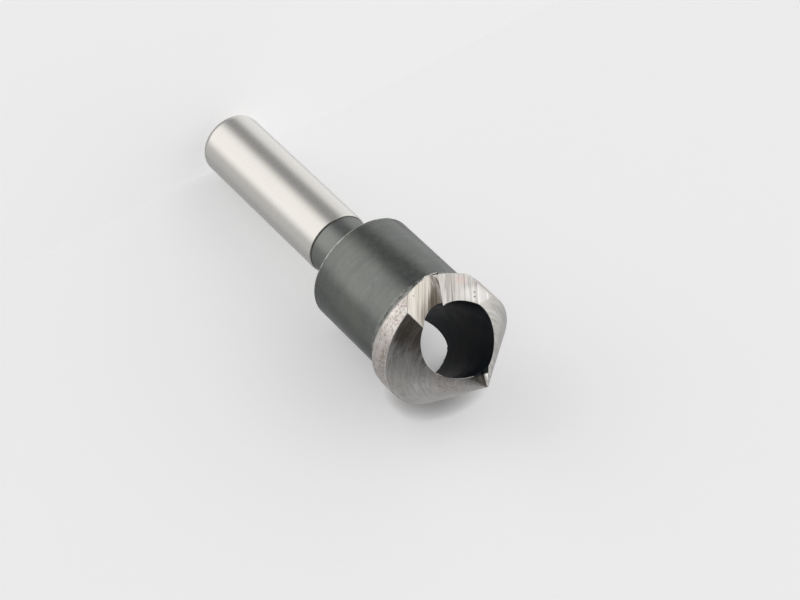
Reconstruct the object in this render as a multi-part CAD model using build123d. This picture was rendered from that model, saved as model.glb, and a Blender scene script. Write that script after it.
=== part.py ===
from build123d import *
import os
from math import cos, pi, radians, sin

# Countersink bit, one solid of hardened steel.
# The tool axis is +Z, the shank end face lies in z = 0 and the cutting tip points up.
# The cross hole leans in the Y-Z plane and opens on the cone towards -Y.

os.makedirs("parts", exist_ok=True)

# ---- shank and neck ----
shank_d = 8.0
shank_length = 23.6
shank_end_chamfer = 0.6
neck_d = 7.65
neck_length = 5.1
shank_step_chamfer = 0.08

# ---- body ----
body_d = 14.0
overall_length = 52.4
shoulder_chamfer = 0.2

# ---- cutting head, lengths measured from the tip ----
head_d = 15.9
tip_flat_d = 0.24
land_back = 10.1
land_taper_length = 0.9
land_taper_drop = 0.11
flare_length = 1.05

# ---- spiral cone: depth at which the cone reaches the land, at both ends of the turn ----
rim_depth_high = 6.45
rim_depth_low = 9.4
relief_power = 2.0
relief_start_angle = -70.5

# ---- gash ahead of the cutting edge: floor and rake plane, both by the tip ----
floor_heading = -110.7
floor_lean = 29.0
floor_depth = 0.08
rake_heading = 29.8
rake_lean = -23.6
gash_corner_radius = 0.5
tip_rake_heading = -42.4
tip_rake_lean = -1.7
tip_gash_height = 3.5
facet_size = 30.0

# ---- flat ground on the land behind the cutting edge ----
flat_heading = -105.5
flat_lean = 0.5
flat_distance = 6.89

# ---- cross hole ----
hole_d = 8.6
hole_tilt = 43.0
hole_crossing_depth = 8.75
hole_offset = 0.2
hole_reach = 40.0

# ---- derived places ----
shank_r = shank_d / 2
neck_r = neck_d / 2
body_r = body_d / 2
head_r = head_d / 2
tip_flat_r = tip_flat_d / 2
tip_z = overall_length
neck_top_z = shank_length + neck_length
taper_z = tip_z - land_back
flare_z = taper_z - land_taper_length
flare_foot_z = flare_z - flare_length
taper_r = head_r - land_taper_drop

# Turned blank: shank, undercut neck, body, flare and land, square at the top.
with BuildPart() as blank:
    with BuildSketch(Plane.XZ):
        with BuildLine():
            Polyline(
                (0, 0),
                (shank_r - shank_end_chamfer, 0),
                (shank_r, shank_end_chamfer),
                (shank_r, shank_length - shank_step_chamfer),
                (shank_r - shank_step_chamfer, shank_length),
                (neck_r, shank_length),
                (neck_r, neck_top_z),
                (body_r - shoulder_chamfer, neck_top_z),
                (body_r, neck_top_z + shoulder_chamfer),
                (body_r, flare_foot_z),
                (taper_r, flare_z),
                (head_r, taper_z),
                (head_r, tip_z),
                (0, tip_z),
                close=True,
            )
        make_face()
    revolve(axis=Axis.Z)

# Spiral cone: every generator runs to one apex, and the cone grows slimmer round
# the turn so that the surface falls away behind the cutting edge.
section_depth = 14.0
apex_lift = tip_flat_r * rim_depth_high / head_r


def relief_point(turn):
    """Point of the spiral section after the given share of a full turn."""
    rim_depth = rim_depth_high + (rim_depth_low - rim_depth_high) * turn**relief_power
    radius = (section_depth + apex_lift) * head_r / rim_depth
    angle = radians(relief_start_angle) - 2 * pi * turn
    return (radius * cos(angle), radius * sin(angle))


spiral_steps = 36
spiral_points = [relief_point(k / spiral_steps) for k in range(spiral_steps + 1)]
with BuildPart() as spiral_cone:
    with BuildSketch(Plane.XY.offset(tip_z - section_depth)) as spiral_section:
        with BuildLine():
            Spline(*spiral_points)
            Line(spiral_points[-1], spiral_points[0])
        make_face()
    loft(sections=[spiral_section.sketch.faces()[0], Vertex(0, 0, tip_z + apex_lift)], ruled=True)

# Everything of the blank above the low end of the rim that lies outside the spiral cone.
rim_allowance = 0.5
waste_height = rim_depth_low + rim_allowance
with BuildPart() as waste:
    with Locations((0, 0, tip_z - waste_height)):
        Cylinder(
            head_r + rim_allowance,
            waste_height + rim_allowance,
            align=(Align.CENTER, Align.CENTER, Align.MIN),
        )
    add(spiral_cone.part, mode=Mode.SUBTRACT)


def facet_block(heading, lean, distance):
    """Large block beyond a plane at the given distance from the tip."""
    outward = Vector(
        cos(radians(lean)) * cos(radians(heading)),
        cos(radians(lean)) * sin(radians(heading)),
        sin(radians(lean)),
    )
    plane = Plane(origin=Vector(0, 0, tip_z) + outward * distance, z_dir=outward)
    return plane * Box(
        facet_size * 2,
        facet_size * 2,
        facet_size,
        align=(Align.CENTER, Align.CENTER, Align.MIN),
    )


gash_floor = facet_block(floor_heading, floor_lean, -floor_depth)
gash = gash_floor & facet_block(rake_heading, rake_lean, 0)
corner_start = Vector(0, 0, tip_z)
corner_edge = gash.edges().sort_by(lambda edge: edge.distance_to(corner_start))[0]
gash = gash.fillet(gash_corner_radius, [corner_edge])

# Above the hole the same floor ends at a wall of its own, which sharpens the tip.
tip_gash = gash_floor & facet_block(tip_rake_heading, tip_rake_lean, 0)
tip_gash &= Pos(0, 0, tip_z - tip_gash_height) * Box(
    facet_size, facet_size, facet_size, align=(Align.CENTER, Align.CENTER, Align.MIN)
)
flat = facet_block(flat_heading, flat_lean, flat_distance)

# Cross hole: enters on the cone at -Y and leaves through the flare and body at +Y.
hole_place = Plane(
    origin=(hole_offset, 0, tip_z - hole_crossing_depth),
    z_dir=(0, sin(radians(hole_tilt)), -cos(radians(hole_tilt))),
)
cross_hole = hole_place * Cylinder(hole_d / 2, hole_reach)

countersink_bit = blank.part - waste.part - gash - tip_gash - flat - cross_hole
print("volume", countersink_bit.volume, "solids", len(countersink_bit.solids()))
export_step(countersink_bit.solids()[0], "parts/countersink_bit.step")
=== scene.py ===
from math import cos, pi, radians, sin

import bmesh
import bpy
from mathutils import Matrix, Vector, noise


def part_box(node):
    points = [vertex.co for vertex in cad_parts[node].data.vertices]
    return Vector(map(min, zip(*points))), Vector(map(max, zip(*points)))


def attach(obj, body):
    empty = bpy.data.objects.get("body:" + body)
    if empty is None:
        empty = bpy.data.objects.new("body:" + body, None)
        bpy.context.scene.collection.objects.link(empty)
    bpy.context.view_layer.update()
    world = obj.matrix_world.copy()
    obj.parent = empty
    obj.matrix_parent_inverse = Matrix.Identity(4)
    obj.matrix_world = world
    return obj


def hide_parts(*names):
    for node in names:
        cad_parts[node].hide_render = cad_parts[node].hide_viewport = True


bl_info = {
    "name": "Countersink Bit",
    "version": (1, 0, 0),
    "blender": (4, 5, 0),
    "location": "View3D > Sidebar > Countersink",
    "description": "Builds a cross-hole countersink bit with its ground and oxidised finishes",
    "category": "Add Mesh",
}

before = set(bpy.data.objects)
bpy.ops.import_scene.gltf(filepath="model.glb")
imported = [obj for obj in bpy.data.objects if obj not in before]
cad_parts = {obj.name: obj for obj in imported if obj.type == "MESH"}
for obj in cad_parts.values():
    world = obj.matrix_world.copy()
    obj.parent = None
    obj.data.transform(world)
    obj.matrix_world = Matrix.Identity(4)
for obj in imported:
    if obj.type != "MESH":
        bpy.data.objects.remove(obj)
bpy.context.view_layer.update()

MM = 0.001
TO_MM = 1 / MM
NODE = "countersink_bit"
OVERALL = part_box(NODE)[1][2] / MM
TIP_POINT = Vector((0, 0, OVERALL))

# Lengths are in millimetres unless a comment says otherwise.
# Rounded shank end: its radius in widths of the end chamfer, and the steps of the curve.
END_ROUNDING, END_STEPS = 2.2, 10
# Place of the point that rounds the shoulder, as a share of its chamfer.
SHOULDER_POINT = 0.3
# Short rows below the flare and cuts down the cone, which keep the shading even.
FLARE_ROWS, FLARE_ROW_STEP, CONE_CUTS = 6, 0.4, 5
# Distances under which the blank's seam and the finished mesh's slivers are welded.
SEAM_WELD, SLIVER_WELD, SLIVER_EDGE = 0.0005, 0.012, 0.004
# Edges flatter than the first angle aren't broken, and those under the second shade smooth.
BREAK_ANGLE, SMOOTH_ANGLE = radians(14), radians(28)

# Relief of the grinding strokes: waves per millimetre, shift of the noise and weight.
STROKE_WAVES = ((1.1, 0, 0.9), (3.1, 7, 0.8), (7.7, 13, 0.6))
# Teeth where strokes run out on the body: height, waves per millimetre, place in the
# noise, its bias, the lowest height that has them and their reach above the flare's foot.
TOOTH_HEIGHT, TOOTH_WAVES, TOOTH_SEED, TOOTH_BIAS = 0.42, 5.3, 5.0, 0.05
TOOTH_FLOOR, TOOTH_REACH = 36, 0.9

# Directions in which the coarse grinding marks run on the gash floor and the flat.
GASH_STROKE = Vector((0.58, 0.24, 0.78))
FLAT_STROKE = Vector((0.58, -0.15, 0.80))

# Painted highlight, two pits and a reddish patch on the flat: place, radius, share and colour.
FLAT_SPOTS = (
    ((-4.1, -6.08, 45.1), 2.2, 0.75, (0.93, 0.91, 0.88)),
    ((-4.2, -6.05, 44.6), 0.17, 0.9, (0.10, 0.09, 0.08)),
    ((-3.7, -6.19, 45.3), 0.17, 0.9, (0.10, 0.09, 0.08)),
    ((-4.04, -6.12, 42.2), 1.0, 0.35, (0.78, 0.54, 0.50)),
)

# Finishes of the faces, in the order of the mesh's materials.
SHANK, OXIDE, LAND, CONE, FLAT, GASH, BORE, EDGE, TIP, WALL = range(10)

# The table that the bit lies on, seen from the bit: its up, back and right directions.
TABLE_UP = Vector((0, -0.9955, 0.0943)).normalized()
TABLE_BACK = Vector((-0.622, -0.0736, -0.780)).normalized()
TABLE_RIGHT = Vector((-0.783, 0.0587, 0.619)).normalized()

# Stage: half width of the planes and a point of the card in metres, and each plane's lift.
PLANE_HALF = 1.5
CARD_POINT = Vector((0, 0.00795, 0.0423))
FLOOR_LIFT, CARD_LIFT = 0.49, 0.33
# Contact shade on the planes: reach in metres, sharpness, and the heights in metres
# between which it comes in beside the head.
CONTACT_REACH, CONTACT_POWER = 0.0022, 2.2
HEAD_FROM, HEAD_TO = 0.034, 0.042

# Light from all round, the plain backdrop, and the soft patches of light or shade:
# azimuth and elevation on the table, inner and outer angle, and colour.
BASE_LIGHT = (0.48, 0.48, 0.49)
BACKDROP = (0.83, 0.83, 0.835, 1)
SOFTBOXES = (
    (-72, 28, 14, 42, (0.90, 0.89, 0.86)),
    (62, 28, 14, 44, (0.80, 0.79, 0.77)),
    (14, 2, 8, 36, (0.60, 0.60, 0.60)),
    (14, -30, 6, 28, (0.14, 0.14, 0.14)),
    (-95, -12, 8, 40, (0.20, 0.20, 0.19)),
    (76, -14, 10, 42, (0.34, 0.34, 0.33)),
    (180, 20, 20, 75, (-0.26, -0.26, -0.26)),
    (-14, 44, 8, 36, (-0.11, -0.11, -0.11)),
)

# Camera: lens and sensor width in millimetres, its place and clip distances in metres,
# and its right, up and back directions.
LENS, SENSOR_WIDTH = 103.5, 36
CAMERA_POINT = Vector((0.10606, -0.18830, 0.18807))
CLIP_START, CLIP_END = 0.01, 10
CAMERA_RIGHT = Vector((-0.80530, 0.02469, 0.59237))
CAMERA_UP = Vector((-0.43579, -0.70209, -0.56318))
CAMERA_BACK = Vector((0.40200, -0.71168, 0.57615))


# ---------------------------------------------------------------- sizes and colours


def length(name, value, description):
    return bpy.props.FloatProperty(name=name, default=value * MM, unit="LENGTH",
                                   precision=5, description=description)


def angle(name, value, description):
    return bpy.props.FloatProperty(name=name, default=radians(value), subtype="ANGLE",
                                   description=description)


def colour(name, value, description):
    return bpy.props.FloatVectorProperty(name=name, default=value, subtype="COLOR", size=3,
                                         min=0, max=1, description=description)


class BitSizes(bpy.types.PropertyGroup):
    """Sizes of the turned blank, the spiral cone and the cuts"""

    shank_radius: length("Shank radius", 4.0, "Radius of the ground shank")
    shank_length: length("Shank length", 23.6, "Height of the step between shank and neck")
    end_chamfer: length("End chamfer", 0.6, "Chamfer round the shank end")
    step_chamfer: length("Step chamfer", 0.08, "Small chamfer at the step down to the neck")
    neck_radius: length("Neck radius", 3.825, "Radius of the undercut neck")
    neck_length: length("Neck length", 5.1, "Length of the neck")
    body_radius: length("Body radius", 7.0, "Radius of the body")
    shoulder_chamfer: length("Shoulder chamfer", 0.2, "Chamfer round the shoulder")
    head_radius: length("Head radius", 7.95, "Radius of the land")
    land_back: length("Back of the land", 10.1, "Depth of the land's back edge below the tip")
    taper_length: length("Taper length", 0.9, "Length of the land's slight back taper")
    taper_drop: length("Taper drop", 0.11, "Drop in radius over the back taper")
    flare_length: length("Flare length", 1.05, "Length of the flare down to the body")
    rim_high: length("High rim", 6.45, "Depth of the rim where the spiral starts")
    rim_low: length("Low rim", 9.4, "Depth of the rim where the spiral ends")
    relief_start: angle("Spiral start", -70.5, "Heading at which the spiral cone starts")
    tip_radius: length("Tip radius", 0.12, "Radius of the tip flat")
    floor_heading: angle("Gash heading", -110.7, "Heading of the gash floor")
    floor_lean: angle("Gash lean", 29.0, "Lean of the gash floor")
    floor_depth: length("Gash depth", 0.08, "Depth of the gash floor below the tip")
    rake_heading: angle("Rake heading", 29.8, "Heading of the rake face")
    rake_lean: angle("Rake lean", -23.6, "Lean of the rake face")
    gash_corner: length("Gash corner", 0.5, "Corner radius between gash floor and rake face")
    gash_end: length("Gash end", 40.02, "Height at which the gash runs out on the body")
    tip_rake_heading: angle("Tip rake heading", -42.4, "Heading of the gash wall by the tip")
    tip_rake_lean: angle("Tip rake lean", -1.7, "Lean of the gash wall by the tip")
    tip_gash_height: length("Tip gash height", 3.5, "Reach of the tip's own gash wall")
    flat_heading: angle("Flat heading", -105.5, "Heading of the flat on the land")
    flat_lean: angle("Flat lean", 0.5, "Lean of the flat on the land")
    flat_distance: length("Flat distance", 6.89, "Distance of the flat from the axis")
    hole_radius: length("Hole radius", 4.3, "Radius of the cross hole")
    hole_tilt: angle("Hole tilt", 43.0, "Tilt of the cross hole")
    hole_depth: length("Hole depth", 8.75, "Depth at which the hole crosses the axis")
    hole_offset: length("Hole offset", 0.2, "Sideways offset of the cross hole")
    stroke_depth: length("Stroke depth", 0.026, "Height of the coarse grinding marks")
    edge_break: length("Edge break", 0.045, "Width of the broken edges")
    segments: bpy.props.IntProperty(name="Segments", default=512, min=64,
                                    description="Steps round the axis")


class BitColours(bpy.types.PropertyGroup):
    """Colours of the finishes"""

    ground: colour("Ground steel", (0.665, 0.647, 0.614), "Bright ground steel")
    oxide: colour("Oxide", (0.165, 0.175, 0.160), "Dark oxide skin")
    floor: colour("Floor", (0.80, 0.80, 0.80), "Pale floor and card")


# ---------------------------------------------------------------- mesh helpers


def outward(heading, lean):
    return Vector((cos(lean) * cos(heading), cos(lean) * sin(heading), sin(lean)))


def finish_mesh(bm, name, materials):
    mesh = bpy.data.meshes.new(name)
    bm.to_mesh(mesh)
    bm.free()
    for material in materials:
        mesh.materials.append(material)
    obj = bpy.data.objects.new(name, mesh)
    bpy.context.collection.objects.link(obj)
    return obj


def cut_away(target, cutter):
    """Subtracts the cutter for good and removes it."""
    cut = target.modifiers.new("cut", "BOOLEAN")
    cut.operation = "DIFFERENCE"
    cut.solver = "EXACT"
    cut.material_mode = "TRANSFER"
    cut.object = cutter
    depsgraph = bpy.context.evaluated_depsgraph_get()
    mesh = bpy.data.meshes.new_from_object(target.evaluated_get(depsgraph))
    target.modifiers.clear()
    old = target.data
    target.data = mesh
    bpy.data.meshes.remove(old)
    bpy.data.objects.remove(cutter)


def strokes_turn(normal, stroke):
    """Rotation that lays the stroke direction along X and the normal along Z."""
    x = (stroke - stroke.dot(normal) * normal).normalized()
    return Matrix((x, normal.cross(x), normal))


def frame_on(normal, stroke, origin):
    """Matrix whose X is the stroke direction and whose Z is the normal."""
    turn = strokes_turn(normal, stroke).transposed().to_4x4()
    return Matrix.Translation(origin) @ turn


def new_verts(result):
    """The vertices that a bmesh operation made."""
    return [item for item in result if isinstance(item, bmesh.types.BMVert)]


def stroked_slab(half, height, strokes, depth, seed, finish):
    """Slab with grinding strokes along X on its lower face, standing up from z = 0."""
    bm = bmesh.new()
    bmesh.ops.create_grid(bm, x_segments=2, y_segments=strokes, size=half)
    for vert in bm.verts:
        vert.co.z = depth * sum(
            weight * noise.noise(Vector((0, vert.co.y * waves, seed + shift)))
            for waves, shift, weight in STROKE_WAVES)
    for face in bm.faces:
        face.material_index = finish
        face.smooth = True
    top = bmesh.ops.extrude_face_region(bm, geom=bm.faces[:])
    for vert in new_verts(top["geom"]):
        vert.co.z = height
    bmesh.ops.recalc_face_normals(bm, faces=bm.faces[:])
    return bm


# ---------------------------------------------------------------- the bit


def flare_places(size):
    """Heights of the land's back edge, the flare's top and its foot, and its top radius."""
    z_taper = OVERALL - size.land_back * TO_MM
    z_flare = z_taper - size.taper_length * TO_MM
    z_foot = z_flare - size.flare_length * TO_MM
    return z_taper, z_flare, z_foot, size.head_radius * TO_MM - size.taper_drop * TO_MM


def turned_blank(size):
    """Spun blank in millimetres, with the spiral cone set into its top."""
    rs, ls = size.shank_radius * TO_MM, size.shank_length * TO_MM
    rn, zn = size.neck_radius * TO_MM, (size.shank_length + size.neck_length) * TO_MM
    rb, rh = size.body_radius * TO_MM, size.head_radius * TO_MM
    tip_radius = size.tip_radius * TO_MM
    cs, ch = size.step_chamfer * TO_MM, size.shoulder_chamfer * TO_MM
    mid = ch * SHOULDER_POINT
    z_taper, z_flare, z_foot, rt = flare_places(size)
    high, low = size.rim_high * TO_MM, size.rim_low * TO_MM
    lift = tip_radius * high / rh
    rounding = END_ROUNDING * (size.end_chamfer * TO_MM)
    turns = [pi * k / (2 * END_STEPS) for k in range(END_STEPS + 1)]
    rounded_end = [(rs - rounding * (1 - sin(turn)), rounding * (1 - cos(turn)), SHANK)
                   for turn in turns]
    short_rows = [(rb, z_foot - FLARE_ROW_STEP * k, OXIDE) for k in range(FLARE_ROWS, 0, -1)]
    # Each row has a radius, a height and the finish of the faces above it.
    rows = [
        (0, 0, SHANK), *rounded_end,
        (rs, ls - cs, SHANK), (rs - cs, ls, OXIDE), (rn, ls, OXIDE), (rn, zn, OXIDE),
        (rb - ch, zn, OXIDE), (rb - mid, zn + mid, OXIDE), (rb, zn + ch, OXIDE),
        *short_rows, (rb, z_foot, OXIDE), (rt, z_flare, LAND), (rh, z_taper, LAND),
        (rh, OVERALL - low, CONE), (tip_radius, OVERALL, CONE), (0, OVERALL, CONE),
    ]
    rim_row, tip_row = len(rows) - 3, len(rows) - 2
    bm = bmesh.new()
    row_of = bm.verts.layers.int.new("row")
    start = size.relief_start
    heading = Vector((cos(start), sin(start)))
    column = []
    for k, (r, z, _) in enumerate(rows):
        vert = bm.verts.new((r * heading.x, r * heading.y, z))
        vert[row_of] = k
        column.append(vert)
    edges = [bm.edges.new(pair) for pair in zip(column, column[1:])]
    spun = bmesh.ops.spin(bm, geom=column + edges, cent=(0, 0, 0), axis=(0, 0, 1),
                          angle=2 * pi, steps=size.segments, use_merge=False)
    first = set(column)
    last = set(new_verts(spun["geom_last"]))
    # The rim and the tip follow the spiral, clockwise from the start heading.
    for vert in bm.verts:
        if vert[row_of] not in (rim_row, tip_row):
            continue
        flat = vert.co.to_2d()
        turn = 1.0 - (flat.angle_signed(heading) / (2 * pi)) % 1.0
        if vert in first:
            turn = 1.0
        elif vert in last:
            turn = 0.0
        depth = high + (low - high) * turn**2
        if vert[row_of] == rim_row:
            vert.co.z = OVERALL + lift - depth
        else:
            flat *= lift * rh / depth / flat.length
            vert.co.x, vert.co.y = flat
    # The wall of the step closes the two ends of the spiral.
    ends = {}
    for group, name in ((first, "low"), (last, "high")):
        for vert in group:
            ends[name, vert[row_of]] = vert
    wall = bm.faces.new((ends["low", rim_row], ends["high", rim_row], ends["high", tip_row],
                         ends["low", tip_row]))
    finish_of = {k: finish for k, (_, _, finish) in enumerate(rows)}
    for face in bm.faces:
        face.smooth = True
        face.material_index = finish_of[min(v[row_of] for v in face.verts)]
    wall.material_index = CONE
    # The low end's rim and tip vertices lie partway along the high end's column.
    edge_low = bm.edges.get((ends["high", rim_row - 1], ends["high", rim_row]))
    share = ((ends["low", rim_row].co.z - ends["high", rim_row - 1].co.z)
             / (ends["high", rim_row].co.z - ends["high", rim_row - 1].co.z))
    bmesh.utils.edge_split(edge_low, ends["high", rim_row - 1], share)
    edge_tip = bm.edges.get((ends["high", tip_row + 1], ends["high", tip_row]))
    share = ends["low", tip_row].co.to_2d().length / ends["high", tip_row].co.to_2d().length
    bmesh.utils.edge_split(edge_tip, ends["high", tip_row + 1], share)
    slopes = [edge for edge in bm.edges
              if {vert[row_of] for vert in edge.verts} == {rim_row, tip_row}]
    bmesh.ops.subdivide_edges(bm, edges=slopes, cuts=CONE_CUTS)
    bmesh.ops.remove_doubles(bm, verts=bm.verts[:], dist=SEAM_WELD)
    bmesh.ops.recalc_face_normals(bm, faces=bm.faces[:])
    return bm


def hole_axis(size):
    return Vector((0, sin(size.hole_tilt), -cos(size.hole_tilt)))


def cutter_hole(size, materials):
    radius = size.hole_radius * TO_MM
    bm = bmesh.new()
    bmesh.ops.create_cone(bm, cap_ends=True, segments=256, radius1=radius, radius2=radius,
                          depth=40)
    for face in bm.faces:
        face.material_index = BORE
        face.smooth = True
    crossing = Vector((size.hole_offset * TO_MM, 0, OVERALL - size.hole_depth * TO_MM))
    place = frame_on(hole_axis(size), Vector((1, 0, 0)), crossing)
    bmesh.ops.transform(bm, matrix=place, verts=bm.verts[:])
    return finish_mesh(bm, "hole", materials)


def cutter_flat(size, materials):
    """Slab that grinds the flat behind the cutting edge."""
    normal = outward(size.flat_heading, size.flat_lean)
    bm = stroked_slab(half=14, height=12, strokes=420, depth=size.stroke_depth * TO_MM,
                      seed=3.0, finish=FLAT)
    place = frame_on(normal, FLAT_STROKE, TIP_POINT + normal * size.flat_distance * TO_MM)
    bmesh.ops.transform(bm, matrix=place, verts=bm.verts[:])
    return finish_mesh(bm, "flat", materials)


def keep_beyond(bm, point, normal, finish):
    """Cuts the mesh off at a plane, keeps what the normal points to and closes the cut."""
    cut = bmesh.ops.bisect_plane(bm, geom=bm.verts[:] + bm.edges[:] + bm.faces[:], dist=1e-5,
                                 plane_co=point, plane_no=normal, clear_inner=True)
    rim = [e for e in cut["geom_cut"] if isinstance(e, bmesh.types.BMEdge)]
    filled = bmesh.ops.edgeloop_fill(bm, edges=rim, mat_nr=finish)
    for face in filled["faces"]:
        face.smooth = False
    bmesh.ops.recalc_face_normals(bm, faces=bm.faces[:])


def corner_filler(floor, wall, corner, run, radius):
    """Prism that rounds the corner between gash floor and wall, along the given run."""
    steps, overlap, outside, half_run = 24, 0.6, 2, 14
    half = floor.angle(-wall) / 2
    into_floor = run.cross(floor).normalized()
    if into_floor.dot(wall) < 0:
        into_floor.negate()
    into_wall = run.cross(wall).normalized()
    if into_wall.dot(floor) < 0:
        into_wall.negate()
    bisector = (into_floor + into_wall).normalized()
    centre = corner + bisector * radius / sin(half)
    reach = radius / sin(half) * cos(half)
    start, end = corner + into_floor * reach - centre, corner + into_wall * reach - centre
    sweep = start.angle(end)
    arc = [centre + (start * sin(sweep * (1 - k / steps)) + end * sin(sweep * k / steps))
           / sin(sweep) for k in range(steps + 1)]
    outline = [arc[0] - floor * overlap, *arc, arc[-1] - wall * overlap,
               corner - bisector * outside]
    bm = bmesh.new()
    face = bm.faces.new([bm.verts.new(point - run * half_run) for point in outline])
    swept = bmesh.ops.extrude_face_region(bm, geom=[face])
    bmesh.ops.translate(bm, vec=run * (2 * half_run), verts=new_verts(swept["geom"]))
    bmesh.ops.recalc_face_normals(bm, faces=bm.faces[:])
    for face in bm.faces:
        face.material_index = GASH
        face.smooth = True
    return bm


def cutter_gash(size, materials):
    """Slab over the gash floor, cut off at the rake face, with a rounded corner."""
    floor = outward(size.floor_heading, size.floor_lean)
    wall = outward(size.rake_heading, size.rake_lean)
    on_floor = TIP_POINT - floor * size.floor_depth * TO_MM
    bm = stroked_slab(half=16, height=16, strokes=480, depth=size.stroke_depth * TO_MM,
                      seed=11.0, finish=GASH)
    bmesh.ops.transform(bm, matrix=frame_on(floor, GASH_STROKE, on_floor), verts=bm.verts[:])
    keep_beyond(bm, TIP_POINT, wall, GASH)
    keep_beyond(bm, Vector((0, 0, size.gash_end * TO_MM)), Vector((0, 0, 1)), GASH)
    gash = finish_mesh(bm, "gash", materials)
    run = floor.cross(wall).normalized()
    # Where the floor, the wall and the plane across them through the tip meet.
    planes = Matrix((floor, wall, run))
    corner = planes.inverted() @ Vector((floor.dot(on_floor), wall.dot(TIP_POINT),
                                         run.dot(TIP_POINT)))
    filler = corner_filler(floor, wall, corner, run, size.gash_corner * TO_MM)
    cut_away(gash, finish_mesh(filler, "filler", materials))
    return gash


def cutter_tip_gash(size, materials):
    """Block over the same floor by the tip, with a wall of its own."""
    floor = outward(size.floor_heading, size.floor_lean)
    wall = outward(size.tip_rake_heading, size.tip_rake_lean)
    foot = TIP_POINT - Vector((0, 0, size.tip_gash_height * TO_MM))
    bm = bmesh.new()
    bmesh.ops.create_cube(bm, size=30)
    bmesh.ops.translate(bm, verts=bm.verts[:], vec=TIP_POINT)
    keep_beyond(bm, TIP_POINT - floor * size.floor_depth * TO_MM, floor, TIP)
    keep_beyond(bm, TIP_POINT, wall, WALL)
    keep_beyond(bm, foot, Vector((0, 0, 1)), WALL)
    return finish_mesh(bm, "tip_gash", materials)


def is_worn(edge):
    """Whether the edge lies between two finishes that meet in a worn line."""
    if len(edge.link_faces) != 2:
        return False
    finishes = {face.material_index for face in edge.link_faces}
    if len(finishes) == 1 or edge.calc_face_angle(0) < BREAK_ANGLE:
        return False
    # The flat runs out into the cone on the far side without a worn line.
    if finishes == {FLAT, CONE} and edge.verts[0].co.x < 0:
        return False
    return finishes not in ({FLAT, GASH}, {WALL, BORE}) and not finishes & {TIP, EDGE}


def break_edges(mesh, size):
    """Breaks the edges between finishes with narrow bright facets."""
    bm = bmesh.new()
    bm.from_mesh(mesh)
    bmesh.ops.remove_doubles(bm, verts=bm.verts[:], dist=SLIVER_WELD)
    bmesh.ops.dissolve_degenerate(bm, edges=bm.edges[:], dist=SLIVER_EDGE)
    bmesh.ops.bevel(bm, geom=[edge for edge in bm.edges if is_worn(edge)],
                    offset=size.edge_break * TO_MM, offset_type="OFFSET", segments=1,
                    profile=0.5, affect="EDGES", clamp_overlap=False, material=EDGE)
    bmesh.ops.recalc_face_normals(bm, faces=bm.faces[:])
    for edge in bm.edges:
        if len(edge.link_faces) == 2:
            one, other = edge.link_faces
            edge.smooth = (one.material_index == other.material_index
                           and edge.calc_face_angle(0) < SMOOTH_ANGLE)
    cut_teeth(bm, size)
    bm.to_mesh(mesh)
    bm.free()


def cut_teeth(bm, size):
    """Teeth where the coarse strokes of the gash and the flat run out on the body."""
    _, z_flare, foot, flare_radius = flare_places(size)
    slope = (flare_radius - size.body_radius * TO_MM) / (z_flare - foot)
    for vert in bm.verts:
        around = {face.material_index for face in vert.link_faces}
        if OXIDE not in around or not around & {EDGE, GASH, FLAT}:
            continue
        if not TOOTH_FLOOR < vert.co.z < foot + TOOTH_REACH:
            continue
        rise = noise.noise(Vector((vert.co.x * TOOTH_WAVES, vert.co.y * TOOTH_WAVES,
                                   TOOTH_SEED)))
        tooth = TOOTH_HEIGHT * max(0.0, rise + TOOTH_BIAS)
        if vert.co.z > foot:
            # On the flare a tooth follows the slope inwards as it goes down.
            radius = vert.co.to_2d().length
            share = 1 - slope * min(tooth, vert.co.z - foot) / radius
            vert.co.x *= share
            vert.co.y *= share
        vert.co.z -= tooth


# ---------------------------------------------------------------- materials


def add(tree, kind, values=None, **settings):
    """New node; values are plain numbers or the sockets to link, by input name or place."""
    made = tree.nodes.new("ShaderNode" + kind)
    for key, value in settings.items():
        setattr(made, key, value)
    for key, value in (values or {}).items():
        if isinstance(value, bpy.types.NodeSocket):
            tree.links.new(value, made.inputs[key])
        else:
            made.inputs[key].default_value = value
    return made


def maths(tree, operation, *terms):
    made = add(tree, "Math", dict(enumerate(terms)), operation=operation)
    return made.outputs[0]


def ramp(tree, value, low, high, out_low=0.0, out_high=1.0):
    """Smooth step from one range to another."""
    made = add(tree, "MapRange", {"Value": value, "From Min": low, "From Max": high,
                                  "To Min": out_low, "To Max": out_high},
               interpolation_type="SMOOTHSTEP")
    return made.outputs["Result"]


def blend(tree, share, one, other, mode="MIX"):
    made = add(tree, "Mix", data_type="RGBA", blend_type=mode, clamp_factor=True)
    for place, value in ((0, share), (6, one), (7, other)):
        if isinstance(value, bpy.types.NodeSocket):
            tree.links.new(value, made.inputs[place])
        elif place:
            made.inputs[place].default_value = (*value, 1)
        else:
            made.inputs[place].default_value = value
    return made.outputs[2]


def new_group(name, takes, gives):
    tree = bpy.data.node_groups.new(name, "ShaderNodeTree")
    kinds = {"vector": "NodeSocketVector", "value": "NodeSocketFloat"}
    for label, kind, default in takes:
        socket = tree.interface.new_socket(label, in_out="INPUT", socket_type=kinds[kind])
        if default is not None:
            socket.default_value = default
    for label, kind in gives:
        tree.interface.new_socket(label, in_out="OUTPUT", socket_type=kinds[kind])
    entry = tree.nodes.new("NodeGroupInput")
    leave = tree.nodes.new("NodeGroupOutput")
    return tree, entry.outputs, leave.inputs


def place_group(tree, group, values):
    made = add(tree, "Group", node_tree=group)
    for key, value in values.items():
        if isinstance(value, bpy.types.NodeSocket):
            tree.links.new(value, made.inputs[key])
        else:
            made.inputs[key].default_value = value
    return made.outputs


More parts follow.
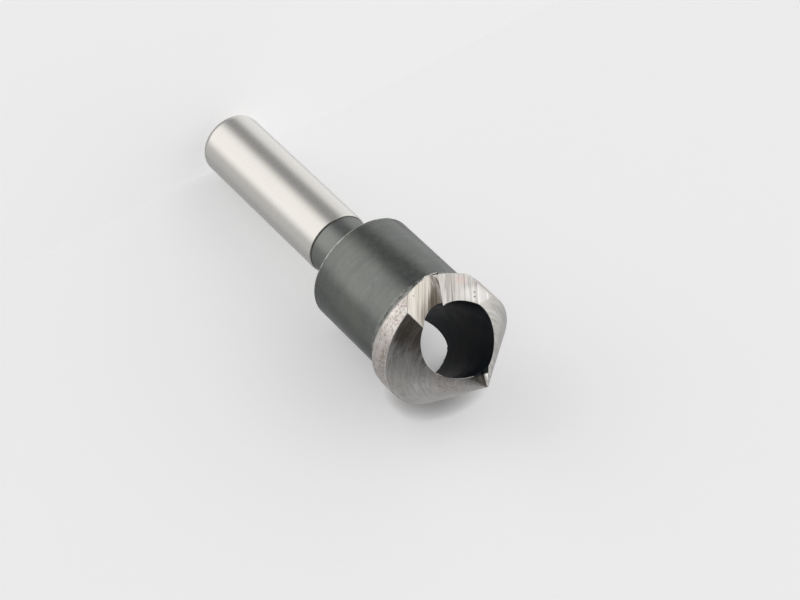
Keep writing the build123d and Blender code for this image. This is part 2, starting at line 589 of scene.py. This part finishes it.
def marks_group():
    """Grinding marks that run along X: a height, a tone and a mask of the few deep ones."""
    takes = [("Vector", "vector", None), ("Along", "value", 0.2), ("Across", "value", 8.0),
             ("Deep", "value", 0.62)]
    tree, given, result = new_group("Grinding marks", takes,
                                    [("Height", "value"), ("Tone", "value"), ("Deep", "value")])
    stretch = add(tree, "CombineXYZ", {0: given["Along"], 1: given["Across"],
                                       2: given["Across"]})
    place = add(tree, "VectorMath", {0: given["Vector"], 1: stretch.outputs[0]},
                operation="MULTIPLY")
    fine = add(tree, "TexNoise", {"Vector": place.outputs[0], "Scale": 1.0, "Detail": 3.0,
                                  "Roughness": 0.65})
    broad = add(tree, "TexNoise", {"Vector": place.outputs[0], "Scale": 0.27, "Detail": 2.0,
                                   "Roughness": 0.5})
    deep = add(tree, "TexNoise", {"Vector": place.outputs[0], "Scale": 0.8, "Detail": 2.0,
                                  "Roughness": 0.5, "Distortion": 0.1})
    tree.links.new(fine.outputs["Fac"], result["Height"])
    mean = maths(tree, "MULTIPLY_ADD", fine.outputs["Fac"], 0.5,
                 maths(tree, "MULTIPLY", broad.outputs["Fac"], 0.5))
    tree.links.new(ramp(tree, mean, 0.34, 0.66), result["Tone"])
    limit = maths(tree, "ADD", given["Deep"], 0.08)
    tree.links.new(ramp(tree, deep.outputs["Fac"], given["Deep"], limit), result["Deep"])
    return tree


def specks_group():
    """Small dark pits and specks: a mask that is 1 inside a speck."""
    takes = [("Vector", "vector", None), ("Scale", "value", 3.0), ("Size", "value", 0.25),
             ("Share", "value", 0.4)]
    tree, given, result = new_group("Specks", takes, [("Mask", "value")])
    wobble = add(tree, "TexNoise", {"Vector": given["Vector"], "Scale": 5.0, "Detail": 2.0})
    shift = add(tree, "VectorMath", {0: wobble.outputs["Color"], 1: (0.14, 0.14, 0.14)},
                operation="MULTIPLY")
    moved = add(tree, "VectorMath", {0: given["Vector"], 1: shift.outputs[0]}, operation="ADD")
    cells = add(tree, "TexVoronoi", {"Vector": moved.outputs[0], "Scale": given["Scale"]})
    drawn = add(tree, "SeparateColor", {0: cells.outputs["Color"]})
    chosen = maths(tree, "LESS_THAN", drawn.outputs[0], given["Share"])
    radius = maths(tree, "MULTIPLY", given["Size"], drawn.outputs[1])
    inside = maths(tree, "SUBTRACT", radius, cells.outputs["Distance"])
    soft = ramp(tree, inside, 0.0, 0.06)
    tree.links.new(maths(tree, "MULTIPLY", soft, chosen), result["Mask"])
    return tree


def clouds_group():
    """Soft uneven patches: a broad value and a finer one."""
    takes = [("Vector", "vector", None), ("Scale", "value", 0.3), ("Contrast", "value", 0.16)]
    tree, given, result = new_group("Clouds", takes, [("Broad", "value"), ("Fine", "value")])
    for label, factor, detail in (("Broad", 1.0, 3.0), ("Fine", 7.0, 4.0)):
        scale = maths(tree, "MULTIPLY", given["Scale"], factor)
        cloud = add(tree, "TexNoise", {"Vector": given["Vector"], "Scale": scale,
                                       "Detail": detail, "Roughness": 0.6})
        low = maths(tree, "SUBTRACT", 0.5, given["Contrast"])
        high = maths(tree, "ADD", 0.5, given["Contrast"])
        tree.links.new(ramp(tree, cloud.outputs["Fac"], low, high), result[label])
    return tree


GROUPS = {}


def place_shared(tree, maker, values):
    """Places a shared node group, which is made when it is first asked for."""
    if maker not in GROUPS:
        GROUPS[maker] = maker()
    return place_group(tree, GROUPS[maker], values)


def marks_on(tree, place, along, across, deep):
    return place_shared(tree, marks_group, {"Vector": place, "Along": along,
                                            "Across": across, "Deep": deep})


def specks_on(tree, place, scale, size, share):
    return place_shared(tree, specks_group, {"Vector": place, "Scale": scale,
                                             "Size": size, "Share": share})


def clouds_on(tree, place, scale, contrast):
    return place_shared(tree, clouds_group, {"Vector": place, "Scale": scale,
                                             "Contrast": contrast})


def tinted(tree, base, *layers):
    """Lays tints over a colour; each has a mask, its share and its own colour."""
    for mask, share, shade in layers:
        base = blend(tree, maths(tree, "MULTIPLY", mask, share), base, shade)
    return base


def ring_coords(tree, parts, along_axis, squeeze=0.1):
    """Coordinates in which the marks run round the tool's axis."""
    depth = maths(tree, "MULTIPLY", parts[1], squeeze)
    return add(tree, "CombineXYZ", {0: parts[0], 1: along_axis, 2: depth}).outputs[0]


def distance_from(tree, place, point):
    away = add(tree, "VectorMath", {0: place, 1: point}, operation="DISTANCE")
    return away.outputs["Value"]


def start_material(name, turn=None):
    """Empty metal and its object coordinates in millimetres, turned where marks need it."""
    material = bpy.data.materials.new(name)
    material.use_nodes = True
    tree = material.node_tree
    shader = tree.nodes["Principled BSDF"]
    shader.inputs["Metallic"].default_value = 1
    coords = add(tree, "TexCoord").outputs["Object"]
    settings = {"Vector": coords, "Scale": (1 / MM, 1 / MM, 1 / MM)}
    if turn is not None:
        settings["Rotation"] = turn.to_euler()
    place = add(tree, "Mapping", settings).outputs[0]
    return material, tree, shader, place


def set_bump(tree, shader, height, microns):
    bump = add(tree, "Bump", {"Height": height, "Strength": 1.0, "Distance": microns * 1e-6})
    tree.links.new(bump.outputs[0], shader.inputs["Normal"])


def spot(tree, place, centre, radius):
    """Mask of one small round place."""
    return ramp(tree, distance_from(tree, place, centre), radius * 0.4, radius, 1.0, 0.0)


def set_surface(tree, shader, base, rough):
    tree.links.new(base, shader.inputs["Base Color"])
    tree.links.new(rough, shader.inputs["Roughness"])


def shank_material(colours):
    material, tree, shader, place = start_material("ground_shank")
    parts = add(tree, "SeparateXYZ", {0: place}).outputs
    marks = marks_on(tree, ring_coords(tree, parts, parts[2]), 0.5, 9.0, 0.68)
    clouds = clouds_on(tree, place, 0.25, 0.2)
    base = blend(tree, marks["Tone"], [c * 0.96 for c in colours.ground], colours.ground)
    base = tinted(tree, base,
                  (clouds["Broad"], 0.2, (0.62, 0.60, 0.565)),
                  (marks["Deep"], 0.16, (0.46, 0.44, 0.41)))
    rough = maths(tree, "MULTIPLY_ADD", marks["Tone"], 0.04, 0.25)
    rough = maths(tree, "MULTIPLY_ADD", clouds["Fine"], 0.02, rough)
    set_surface(tree, shader, base, rough)
    set_bump(tree, shader, marks["Height"], 0.45)
    return material


def oxide_material(colours):
    material, tree, shader, place = start_material("oxide_skin")
    parts = add(tree, "SeparateXYZ", {0: place}).outputs
    marks = marks_on(tree, ring_coords(tree, parts, parts[2]), 0.35, 5.5, 0.64)
    clouds = clouds_on(tree, place, 0.2, 0.14)
    specks = specks_on(tree, place, 2.6, 0.17, 0.25)
    base = tinted(tree, colours.oxide,
                  (clouds["Broad"], 0.5, (0.125, 0.138, 0.140)),
                  (clouds["Fine"], 0.3, (0.22, 0.22, 0.205)),
                  (marks["Tone"], 0.2, (0.095, 0.10, 0.095)),
                  (specks["Mask"], 0.4, (0.32, 0.32, 0.30)))
    # The neck keeps less of the skin than the body.
    thin = ramp(tree, parts[2], 28.55, 28.75, 0.25, 0.0)
    base = blend(tree, thin, base, (0.34, 0.34, 0.325))
    # A lighter line runs round the body just above the shoulder.
    uneven = maths(tree, "MULTIPLY_ADD", clouds["Fine"], 0.10, parts[2])
    worn = maths(tree, "MULTIPLY", ramp(tree, uneven, 28.72, 28.80),
                 ramp(tree, uneven, 28.90, 29.02, 0.75, 0.0))
    base = blend(tree, worn, base, (0.62, 0.61, 0.58))
    # The skin is rubbed thin on the flare beside the land.
    fray = maths(tree, "MULTIPLY_ADD", clouds["Fine"], 0.5, parts[2])
    rubbed = ramp(tree, fray, 40.25, 41.45, 0.0, 0.95)
    base = blend(tree, rubbed, base, (0.50, 0.495, 0.475))
    tree.links.new(maths(tree, "MULTIPLY_ADD", rubbed, -0.8, 1.0), shader.inputs["Metallic"])
    shader.inputs["Specular Tint"].default_value = (0.72, 0.72, 0.72, 1)
    rough = maths(tree, "MULTIPLY_ADD", clouds["Fine"], 0.06, 0.21)
    rough = maths(tree, "MULTIPLY_ADD", marks["Tone"], 0.04, rough)
    rough = maths(tree, "MULTIPLY_ADD", maths(tree, "MAXIMUM", rubbed, thin), 0.25, rough)
    set_surface(tree, shader, base, rough)
    set_bump(tree, shader, marks["Height"], 1.0)
    return material


def land_material():
    material, tree, shader, place = start_material("ground_land")
    parts = add(tree, "SeparateXYZ", {0: place}).outputs
    marks = marks_on(tree, ring_coords(tree, parts, parts[2]), 0.6, 8.0, 0.6)
    clouds = clouds_on(tree, place, 0.55, 0.12)
    mottle = clouds_on(tree, place, 0.5, 0.07)
    specks = specks_on(tree, place, 2.4, 0.40, 0.75)
    patches = maths(tree, "MULTIPLY", mottle["Fine"],
                    maths(tree, "SUBTRACT", 1.0, marks["Tone"]))
    base = blend(tree, marks["Tone"], (0.54, 0.505, 0.475), (0.70, 0.665, 0.64))
    base = tinted(tree, base,
                  (clouds["Broad"], 0.5, (0.46, 0.395, 0.36)),
                  (clouds["Fine"], 0.25, (0.74, 0.72, 0.70)),
                  (patches, 0.75, (0.27, 0.215, 0.185)),
                  (specks["Mask"], 0.6, (0.19, 0.145, 0.12)))
    set_surface(tree, shader, base, maths(tree, "MULTIPLY_ADD", clouds["Fine"], 0.12, 0.27))
    set_bump(tree, shader, marks["Height"], 2.0)
    return material


def cone_material():
    material, tree, shader, place = start_material("ground_cone")
    parts = add(tree, "SeparateXYZ", {0: place}).outputs
    rings = ring_coords(tree, parts, distance_from(tree, place, TIP_POINT), 0.12)
    marks = marks_on(tree, rings, 0.8, 8.5, 0.6)
    clouds = clouds_on(tree, place, 0.4, 0.12)
    specks = specks_on(tree, place, 2.2, 0.3, 0.35)
    rust = maths(tree, "MULTIPLY", spot(tree, place, (3.0, 0.3, 49.2), 2.3), clouds["Fine"])
    # Painted shade from the step part of the way round the low side.
    # It stands in for the step's shadow and the dark the cone reflects there.
    heading = maths(tree, "ARCTAN2", parts[1], parts[0])
    uneven = maths(tree, "MULTIPLY_ADD", marks["Tone"], 0.16, heading)
    step_shade = maths(tree, "MULTIPLY", ramp(tree, uneven, radians(-38), radians(-13), 1.0, 0.0),
                  maths(tree, "GREATER_THAN", heading, radians(-75)))
    step_shade_colour = blend(tree, marks["Tone"], (0.105, 0.09, 0.07), (0.20, 0.18, 0.15))
    base = blend(tree, marks["Tone"], (0.48, 0.465, 0.44), (0.70, 0.685, 0.655))
    base = tinted(tree, base,
                  (marks["Deep"], 0.5, (0.28, 0.26, 0.23)),
                  (rust, 0.45, (0.36, 0.26, 0.21)),
                  (clouds["Broad"], 0.3, (0.45, 0.42, 0.385)),
                  (specks["Mask"], 0.6, (0.19, 0.15, 0.12)),
                  # Painted shade and dark reflection beside the step.
                  (step_shade, 0.92, step_shade_colour))
    set_surface(tree, shader, base, maths(tree, "MULTIPLY_ADD", marks["Tone"], 0.10, 0.26))
    set_bump(tree, shader, marks["Height"], 2.5)
    return material


def stroked_material(name, normal, stroke, pale, dark, spots=()):
    """Coarsely ground plane with strokes in one direction."""
    turn = strokes_turn(normal, stroke)
    material, tree, shader, place = start_material(name, turn)
    marks = marks_on(tree, place, 0.16, 4.2, 0.57)
    fine = marks_on(tree, place, 0.3, 11.0, 0.6)
    clouds = clouds_on(tree, place, 0.5, 0.12)
    specks = specks_on(tree, place, 1.1, 0.22, 0.3)
    base = blend(tree, marks["Tone"], dark, pale)
    base = tinted(tree, base,
                  (marks["Deep"], 0.6, (0.25, 0.23, 0.20)),
                  (fine["Deep"], 0.3, (0.33, 0.30, 0.26)),
                  (clouds["Broad"], 0.22, (0.60, 0.50, 0.45)),
                  (specks["Mask"], 0.8, (0.12, 0.10, 0.09)),
                  *[(spot(tree, place, turn @ Vector(centre), radius), share, shade)
                    for centre, radius, share, shade in spots])
    set_surface(tree, shader, base, maths(tree, "MULTIPLY_ADD", marks["Tone"], -0.10, 0.40))
    height = maths(tree, "MULTIPLY_ADD", marks["Height"], 0.7,
                   maths(tree, "MULTIPLY", fine["Height"], 0.3))
    set_bump(tree, shader, height, 9.0)
    return material


def bore_material(size):
    turn = strokes_turn(hole_axis(size), Vector((1, 0, 0)))
    material, tree, shader, place = start_material("bore_oxide_and_shade", turn)
    parts = add(tree, "SeparateXYZ", {0: place}).outputs
    rings = add(tree, "CombineXYZ", {0: parts[0], 1: parts[2], 2: parts[1]}).outputs[0]
    marks = marks_on(tree, rings, 0.12, 3.0, 0.6)
    clouds = clouds_on(tree, place, 0.35, 0.15)
    # Oxide painted far darker than the body's, as painted shade inside the hole.
    base = blend(tree, clouds["Broad"], (0.006, 0.010, 0.014), (0.011, 0.011, 0.015))
    base = tinted(tree, base, (marks["Tone"], 0.5, (0.008, 0.013, 0.017)))
    shader.inputs["Metallic"].default_value = 0
    shader.inputs["IOR"].default_value = 1.3
    shader.inputs["Specular IOR Level"].default_value = 0.1
    set_surface(tree, shader, base, maths(tree, "MULTIPLY_ADD", marks["Tone"], 0.12, 0.34))
    set_bump(tree, shader, marks["Height"], 3.0)
    return material


def edge_material():
    material, tree, shader, place = start_material("worn_edge")
    clouds = clouds_on(tree, place, 0.9, 0.12)
    base = blend(tree, clouds["Fine"], (0.80, 0.78, 0.74), (0.52, 0.49, 0.45))
    set_surface(tree, shader, base, maths(tree, "MULTIPLY_ADD", clouds["Fine"], 0.1, 0.22))
    return material


def tip_material(name, dark, pale):
    """Ground facet by the tip in a painted tone; farther from the tip it takes the bore's dark
    colour.
    """
    material, tree, shader, place = start_material(name)
    clouds = clouds_on(tree, place, 0.7, 0.15)
    skin = ramp(tree, distance_from(tree, place, TIP_POINT), 1.35, 1.6)
    base = blend(tree, skin, blend(tree, clouds["Fine"], dark, pale), (0.014, 0.016, 0.018))
    tree.links.new(base, shader.inputs["Base Color"])
    shader.inputs["Roughness"].default_value = 0.3
    return material


def bit_materials(scene):
    """Materials in the order of the finishes."""
    size, colours = scene.bit_sizes, scene.bit_colours
    flat = outward(size.flat_heading, size.flat_lean)
    floor = outward(size.floor_heading, size.floor_lean)
    return [
        shank_material(colours),
        oxide_material(colours),
        land_material(),
        cone_material(),
        stroked_material("ground_flat", flat, FLAT_STROKE,
                         (0.77, 0.75, 0.71), (0.55, 0.52, 0.47), FLAT_SPOTS),
        stroked_material("gash_floor", floor, GASH_STROKE,
                         (0.72, 0.70, 0.64), (0.54, 0.51, 0.45)),
        bore_material(size),
        edge_material(),
        # Painted shade: the tip facet is darker than ground steel, for the dark it reflects.
        tip_material("tip_facet_painted_shade", (0.045, 0.042, 0.038), (0.075, 0.07, 0.062)),
        # Painted highlight: the tip's gash wall is brighter than ground steel.
        tip_material("tip_wall_painted_highlight", (0.84, 0.82, 0.78), (0.95, 0.93, 0.89)),
    ]


# ---------------------------------------------------------------- operators


class COUNTERSINK_OT_bit(bpy.types.Operator):
    """Build the one-piece bit in place of its plain solid"""

    bl_idname = "countersink.bit"
    bl_label = "Bit"

    def execute(self, context):
        size = context.scene.bit_sizes
        materials = bit_materials(context.scene)
        blank = finish_mesh(turned_blank(size), "bit_steel", materials)
        for cutter in (cutter_gash, cutter_tip_gash, cutter_flat, cutter_hole):
            cut_away(blank, cutter(size, materials))
        break_edges(blank.data, size)
        blank.data.transform(Matrix.Scale(MM, 4))
        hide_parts(NODE)
        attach(blank, "root")
        return {"FINISHED"}


class COUNTERSINK_OT_stage(bpy.types.Operator):
    """Set up the pale floor and card, the light and the camera"""

    bl_idname = "countersink.stage"
    bl_label = "Stage"

    def execute(self, context):
        stage_planes(context)
        studio_light(context)
        camera(context)
        return {"FINISHED"}


def pale_material(name, base, lift):
    """Pale one-sided paper, lifted for the camera alone so that it keeps the shadow."""
    material = bpy.data.materials.new(name)
    material.use_nodes = True
    tree = material.node_tree
    tree.nodes.clear()
    diffuse = add(tree, "BsdfDiffuse", {"Color": (*base, 1)})
    # Where the head rests on the card the lift fades, so the contact stays dark.
    near = add(tree, "AmbientOcclusion", {"Distance": CONTACT_REACH}, samples=4).outputs["AO"]
    height = add(tree, "SeparateXYZ", {0: add(tree, "TexCoord").outputs["Object"]}).outputs[2]
    by_head = ramp(tree, height, HEAD_FROM, HEAD_TO)
    fade = maths(tree, "SUBTRACT", maths(tree, "POWER", near, CONTACT_POWER), 1.0)
    seen = add(tree, "LightPath").outputs["Is Camera Ray"]
    glow = maths(tree, "MULTIPLY", maths(tree, "MULTIPLY_ADD", by_head, fade, 1.0), lift)
    glow = add(tree, "Emission", {"Strength": maths(tree, "MULTIPLY", glow, seen)})
    both = add(tree, "AddShader", {0: diffuse.outputs[0], 1: glow.outputs[0]})
    clear = add(tree, "BsdfTransparent")
    behind = add(tree, "NewGeometry").outputs["Backfacing"]
    mix = add(tree, "MixShader", {0: behind, 1: both.outputs[0], 2: clear.outputs[0]})
    add(tree, "OutputMaterial", {0: mix.outputs[0]})
    return material


def stage_planes(context):
    """Floor and card, which the camera sees and nothing else does."""
    paper = context.scene.bit_colours.floor
    on_card = frame_on(TABLE_UP, Vector((1, 0, 0)), CARD_POINT)
    for name, matrix, lift in (("floor", Matrix.Identity(4), FLOOR_LIFT),
                               ("card", on_card, CARD_LIFT)):
        bm = bmesh.new()
        bmesh.ops.create_grid(bm, x_segments=1, y_segments=1, size=PLANE_HALF)
        bmesh.ops.transform(bm, matrix=matrix, verts=bm.verts[:])
        plane = finish_mesh(bm, name, [pale_material(name, paper, lift)])
        plane.visible_diffuse = False
        plane.visible_glossy = False
        plane.visible_transmission = False
        plane.visible_shadow = False


def table_direction(azimuth, elevation):
    a, e = radians(azimuth), radians(elevation)
    level = TABLE_BACK * cos(a) + TABLE_RIGHT * sin(a)
    return (TABLE_UP * sin(e) + level * cos(e)).normalized()


def studio_light(context):
    """World of soft patches that light the bit; the camera sees a plain backdrop."""
    world = bpy.data.worlds.new("studio")
    context.scene.world = world
    world.use_nodes = True
    tree = world.node_tree
    tree.nodes.clear()
    coords = add(tree, "TexCoord").outputs["Generated"]
    light = BASE_LIGHT
    for azimuth, elevation, inner, outer, shade in SOFTBOXES:
        towards = table_direction(azimuth, elevation)
        near = add(tree, "VectorMath", {0: coords, 1: towards}, operation="DOT_PRODUCT")
        share = ramp(tree, near.outputs["Value"], cos(radians(outer)), cos(radians(inner)))
        light = add(tree, "VectorMath", {0: share, 1: shade, 2: light},
                    operation="MULTIPLY_ADD").outputs[0]
    sky = add(tree, "Background", {"Color": light})
    backdrop = add(tree, "Background", {"Color": BACKDROP})
    seen = add(tree, "LightPath").outputs["Is Camera Ray"]
    mix = add(tree, "MixShader", {0: seen, 1: sky.outputs[0], 2: backdrop.outputs[0]})
    add(tree, "OutputWorld", {0: mix.outputs[0]})


def camera(context):
    data = bpy.data.cameras.new("camera")
    data.lens = LENS
    data.sensor_width = SENSOR_WIDTH
    data.clip_start, data.clip_end = CLIP_START, CLIP_END
    view = bpy.data.objects.new("camera", data)
    turn = Matrix((CAMERA_RIGHT, CAMERA_UP, CAMERA_BACK)).transposed().to_4x4()
    view.matrix_world = Matrix.Translation(CAMERA_POINT) @ turn
    context.collection.objects.link(view)
    context.scene.camera = view


class COUNTERSINK_PT_panel(bpy.types.Panel):
    """Sidebar panel that lists the bit's operators, sizes and colours"""

    bl_idname = "COUNTERSINK_PT_panel"
    bl_label = "Countersink Bit"
    bl_space_type = "VIEW_3D"
    bl_region_type = "UI"
    bl_category = "Countersink"

    def draw(self, context):
        layout = self.layout
        for operator in OPERATORS:
            layout.operator(operator.bl_idname)
        for group in (context.scene.bit_sizes, context.scene.bit_colours):
            box = layout.box()
            for name in group.__annotations__:
                box.prop(group, name)


OPERATORS = (COUNTERSINK_OT_bit, COUNTERSINK_OT_stage)
CLASSES = (BitSizes, BitColours, *OPERATORS, COUNTERSINK_PT_panel)


def register():
    for cls in CLASSES:
        bpy.utils.register_class(cls)
    bpy.types.Scene.bit_sizes = bpy.props.PointerProperty(type=BitSizes)
    bpy.types.Scene.bit_colours = bpy.props.PointerProperty(type=BitColours)


def unregister():
    del bpy.types.Scene.bit_colours
    del bpy.types.Scene.bit_sizes
    for cls in reversed(CLASSES):
        bpy.utils.unregister_class(cls)


def main():
    register()
    bpy.ops.countersink.bit()
    bpy.ops.countersink.stage()
    bpy.context.scene.view_settings.view_transform = "Standard"
    bpy.context.view_layer.update()


if __name__ == "__main__":
    main()
